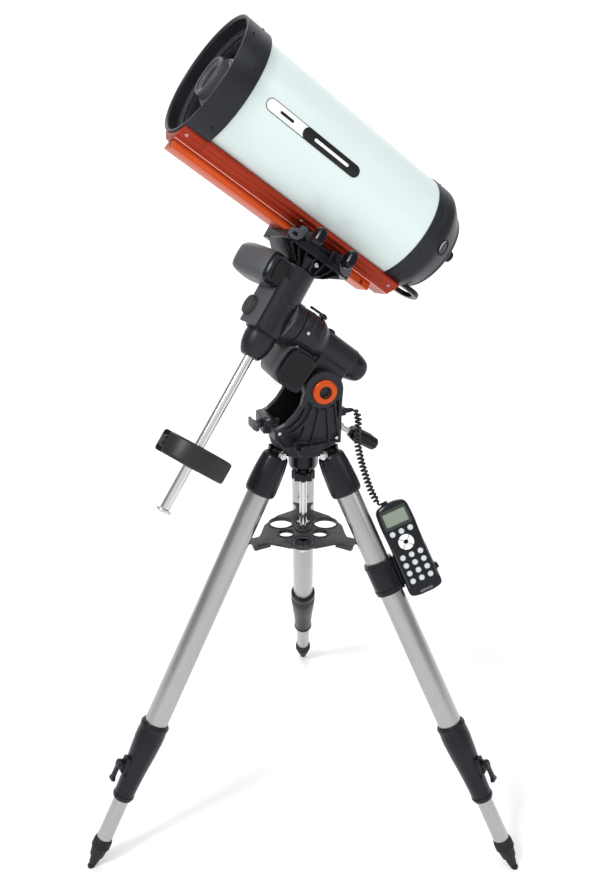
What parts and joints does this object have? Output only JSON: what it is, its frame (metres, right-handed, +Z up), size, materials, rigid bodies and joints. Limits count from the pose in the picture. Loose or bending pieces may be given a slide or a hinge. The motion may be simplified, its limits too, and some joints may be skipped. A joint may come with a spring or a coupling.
{
  "type": "astrograph telescope on equatorial mount",
  "caption": "Short pale wide-field telescope tube on a dark equatorial mount with a counterweight bar, hand control and a steel tripod with a tray.",
  "frame": {"origin": "on the ground at the middle of the footprint", "axes": "+Z up, +X to the right seen from the front, +Y to the back"},
  "size_m": [0.941, 0.817, 1.7189],
  "materials": {
    "black_cast": "satin black powder coat on cast aluminium",
    "black_plastic": "moulded black plastic",
    "charcoal_cast": "fine-grained charcoal paint on cast aluminium",
    "charcoal_iron": "charcoal paint on cast iron",
    "chrome_bar": "polished plating",
    "glass_coated": "coated optical glass",
    "grey_plastic": "moulded dark grey plastic",
    "key_grey": "light grey rubber keys",
    "lcd": "grey-green display window",
    "mirror_coat": "front-coated glass",
    "orange_anodised": "orange-red anodised",
    "rubber_black": "black rubber",
    "steel_bolt": "zinc plated",
    "steel_tube": "drawn stainless tube",
    "tube_white": "pale satin enamel with a faint green cast on aluminium"
  },
  "bodies": {
    "tripod": {"tripod_head": "black_cast", "leg_pivot_bolts": "steel_bolt", "centre_rod": "chrome_bar"},
    "leg_left": {"leg_castings_left": "black_cast", "leg_tube_left": "steel_tube"},
    "lower_leg_left": {"lower_tube_left": "steel_tube", "foot_left": "rubber_black"},
    "lever_left": {"collar_lever_left": "black_plastic"},
    "leg_right": {"leg_castings_right": "black_cast", "leg_tube_right": "steel_tube", "control_holder": "black_plastic", "control_shell": "black_plastic", "control_display": "lcd"},
    "lower_leg_right": {"lower_tube_right": "steel_tube", "foot_right": "rubber_black"},
    "lever_right": {"collar_lever_right": "black_plastic"},
    "leg_rear": {"leg_castings_rear": "black_cast", "leg_tube_rear": "steel_tube"},
    "lower_leg_rear": {"lower_tube_rear": "steel_tube", "foot_rear": "rubber_black"},
    "lever_rear": {"collar_lever_rear": "black_plastic"},
    "rod_knob": {"rod_knob": "black_plastic"},
    "tray": {"accessory_tray": "grey_plastic"},
    "tray_knob": {"tray_knob": "black_plastic"},
    "azimuth_head": {"azimuth_yoke": "charcoal_cast", "latitude_hubs": "orange_anodised", "control_plug": "black_plastic", "control_cord": "rubber_black"},
    "azimuth_knobs": {"azimuth_knobs": "black_plastic"},
    "latitude_bolt": {"latitude_bolt": "charcoal_cast"},
    "latitude_handle": {"latitude_handle": "black_plastic"},
    "polar_head": {"polar_housing": "charcoal_cast", "polar_cap": "black_plastic", "ra_motor_cover": "grey_plastic"},
    "ra_clutch": {"ra_clutch_lever": "black_plastic"},
    "declination_head": {"dec_housing": "charcoal_cast", "dec_motor_cover": "grey_plastic", "shaft_collar": "charcoal_cast", "counterweight_shaft": "chrome_bar", "toe_stop": "steel_bolt"},
    "dec_clutch": {"dec_clutch_knob": "black_plastic"},
    "weight": {"counterweight": "charcoal_iron"},
    "weight_knob": {"counterweight_knob": "black_plastic"},
    "saddle": {"saddle": "charcoal_cast"},
    "saddle_jaw": {"saddle_jaw": "black_cast"},
    "saddle_knob_front": {"saddle_knob_front": "black_plastic"},
    "saddle_knob_rear": {"saddle_knob_rear": "black_plastic"},
    "telescope": {"dovetail_bar": "orange_anodised", "front_cell": "charcoal_cast", "corrector_plate": "glass_coated", "lens_barrel": "black_plastic", "lens_glass": "glass_coated", "optical_tube": "tube_white", "rear_cell": "charcoal_cast", "rear_handle": "black_plastic"},
    "mirror": {"primary_mirror": "mirror_coat"},
    "focus_knob": {"focus_knob": "black_plastic"},
    "function_keys": {"function_keys": "key_grey"},
    "arrow_keys": {"arrow_keys": "key_grey"},
    "number_keys": {"number_keys": "key_grey"}
  },
  "joints": [
    {"name": "leg_fold_left", "type": "hinge", "parent": "tripod", "child": "leg_left", "pos_m": [-0.05369, -0.1645, 0.884], "axis": [0.5, -0.866, 0], "range_deg": [0, 12]},
    {"name": "leg_extend_left", "type": "slide", "parent": "leg_left", "child": "lower_leg_left", "axis": [-0.4079, -0.2355, -0.8821], "range_m": [-0.08, 0.3]},
    {"name": "collar_lever_left_turn", "type": "hinge", "parent": "leg_left", "child": "lever_left", "pos_m": [-0.38895, -0.35806, 0.24389], "axis": [-0.7639, -0.4411, 0.471], "range_deg": [-60, 60]},
    {"name": "leg_fold_right", "type": "hinge", "parent": "tripod", "child": "leg_right", "pos_m": [0.05369, -0.1645, 0.884], "axis": [0.5, 0.866, 0], "range_deg": [0, 12]},
    {"name": "leg_extend_right", "type": "slide", "parent": "leg_right", "child": "lower_leg_right", "axis": [0.4079, -0.2355, -0.8821], "range_m": [-0.08, 0.3]},
    {"name": "collar_lever_right_turn", "type": "hinge", "parent": "leg_right", "child": "lever_right", "pos_m": [0.38895, -0.35806, 0.24389], "axis": [0.7639, -0.4411, 0.471], "range_deg": [-60, 60]},
    {"name": "leg_fold_rear", "type": "hinge", "parent": "tripod", "child": "leg_rear", "pos_m": [0, -0.0715, 0.884], "axis": [-1, 0, 0], "range_deg": [0, 12]},
    {"name": "leg_extend_rear", "type": "slide", "parent": "leg_rear", "child": "lower_leg_rear", "axis": [0, 0.471, -0.8821], "range_m": [-0.08, 0.3]},
    {"name": "collar_lever_rear_turn", "type": "hinge", "parent": "leg_rear", "child": "lever_rear", "pos_m": [0, 0.31562, 0.24389], "axis": [0, 0.8821, 0.471], "range_deg": [-60, 60]},
    {"name": "rod_knob_turn", "type": "hinge", "parent": "tripod", "child": "rod_knob", "pos_m": [0, -0.1335, 0.812], "axis": [0, 0, 1], "continuous": true},
    {"name": "tray_drop", "type": "slide", "parent": "tripod", "child": "tray", "axis": [0, 0, -1], "range_m": [0, 0.145]},
    {"name": "tray_knob_turn", "type": "hinge", "parent": "tray", "child": "tray_knob", "pos_m": [0, -0.1335, 0.666], "axis": [0, 0, 1], "continuous": true},
    {"name": "azimuth_turn", "type": "hinge", "parent": "tripod", "child": "azimuth_head", "pos_m": [0, -0.1335, 0.9], "axis": [0, 0, 1], "range_deg": [-7, 7]},
    {"name": "azimuth_knobs_turn", "type": "hinge", "parent": "azimuth_head", "child": "azimuth_knobs", "pos_m": [-0.02987, -0.14497, 0.914], "axis": [0.3584, -0.9336, 0], "continuous": true},
    {"name": "latitude_bolt_turn", "type": "hinge", "parent": "azimuth_head", "child": "latitude_bolt", "pos_m": [-0.05602, -0.155, 0.95], "axis": [-0.9336, -0.3584, 0], "continuous": true},
    {"name": "latitude_handle_turn", "type": "hinge", "parent": "azimuth_head", "child": "latitude_handle", "pos_m": [0.05975, -0.11056, 0.93], "axis": [0.7917, 0.3039, -0.5299], "continuous": true},
    {"name": "latitude_tilt", "type": "hinge", "parent": "azimuth_head", "child": "polar_head", "pos_m": [0.02054, -0.12562, 1.023], "axis": [-0.3584, 0.9336, 0], "range_deg": [-12, 30]},
    {"name": "ra_clutch_turn", "type": "hinge", "parent": "polar_head", "child": "ra_clutch", "pos_m": [0.03988, -0.11819, 1.16015], "axis": [0.5618, 0.2157, 0.7986], "range_deg": [-35, 35]},
    {"name": "ra_turn", "type": "hinge", "parent": "polar_head", "child": "declination_head", "pos_m": [-0.05905, -0.15617, 1.17739], "axis": [-0.7456, -0.2862, 0.6018], "range_deg": [-95, 95]},
    {"name": "dec_clutch_turn", "type": "hinge", "parent": "declination_head", "child": "dec_clutch", "pos_m": [-0.10208, -0.17525, 1.19809], "axis": [-0.7456, -0.2862, 0.6018], "range_deg": [-60, 60]},
    {"name": "dec_turn", "type": "hinge", "parent": "declination_head", "child": "saddle", "pos_m": [-0.05905, -0.15617, 1.17739], "axis": [0.4791, 0.3975, 0.7826], "continuous": true},
    {"name": "weight_slide", "type": "slide", "parent": "declination_head", "child": "weight", "axis": [-0.4791, -0.3975, -0.7826], "range_m": [-0.17, 0.09]},
    {"name": "weight_knob_turn", "type": "hinge", "parent": "weight", "child": "weight_knob", "pos_m": [-0.21332, -0.28415, 0.9254], "axis": [-0.7456, -0.2862, 0.6018], "continuous": true},
    {"name": "saddle_jaw_slide", "type": "slide", "parent": "saddle", "child": "saddle_jaw", "axis": [0.4632, -0.8718, 0.1592], "range_m": [0, 0.008]},
    {"name": "saddle_knob_front_turn", "type": "hinge", "parent": "saddle_jaw", "child": "saddle_knob_front", "pos_m": [0.01079, -0.16031, 1.32841], "axis": [0.4632, -0.8718, 0.1592], "continuous": true},
    {"name": "saddle_knob_rear_turn", "type": "hinge", "parent": "saddle_jaw", "child": "saddle_knob_rear", "pos_m": [0.07043, -0.13741, 1.28026], "axis": [0.4632, -0.8718, 0.1592], "continuous": true},
    {"name": "tube_balance_slide", "type": "slide", "parent": "saddle", "child": "telescope", "axis": [-0.7456, -0.2862, 0.6018], "range_m": [-0.08, 0.06]},
    {"name": "mirror_focus_slide", "type": "slide", "parent": "telescope", "child": "mirror", "axis": [-0.7456, -0.2862, 0.6018], "range_m": [-0.00225, 0.00225]},
    {"name": "focus_knob_turn", "type": "hinge", "parent": "telescope", "child": "focus_knob", "pos_m": [0.29047, -0.00707, 1.26591], "axis": [-0.7456, -0.2862, 0.6018], "range_deg": [-1080, 1080]},
    {"name": "function_keys_press", "type": "slide", "parent": "leg_right", "child": "function_keys", "axis": [-0.0604, 0.9571, -0.2835], "range_m": [0, 0.001], "stiffness_N_per_m": 600, "springref_m": -0.001},
    {"name": "arrow_keys_press", "type": "slide", "parent": "leg_right", "child": "arrow_keys", "axis": [-0.0604, 0.9571, -0.2835], "range_m": [0, 0.001], "stiffness_N_per_m": 600, "springref_m": -0.001},
    {"name": "number_keys_press", "type": "slide", "parent": "leg_right", "child": "number_keys", "axis": [-0.0604, 0.9571, -0.2835], "range_m": [0, 0.001], "stiffness_N_per_m": 600, "springref_m": -0.001}
  ],
  "couplings": [
    {"joint": "leg_fold_right", "follows": "leg_fold_left", "ratio": 1},
    {"joint": "leg_fold_rear", "follows": "leg_fold_left", "ratio": 1},
    {"joint": "tray_drop", "follows": "leg_fold_left", "m_per_rad": 0.69163},
    {"joint": "focus_knob_turn", "follows": "mirror_focus_slide", "rad_per_m": 8369.2}
  ]
}
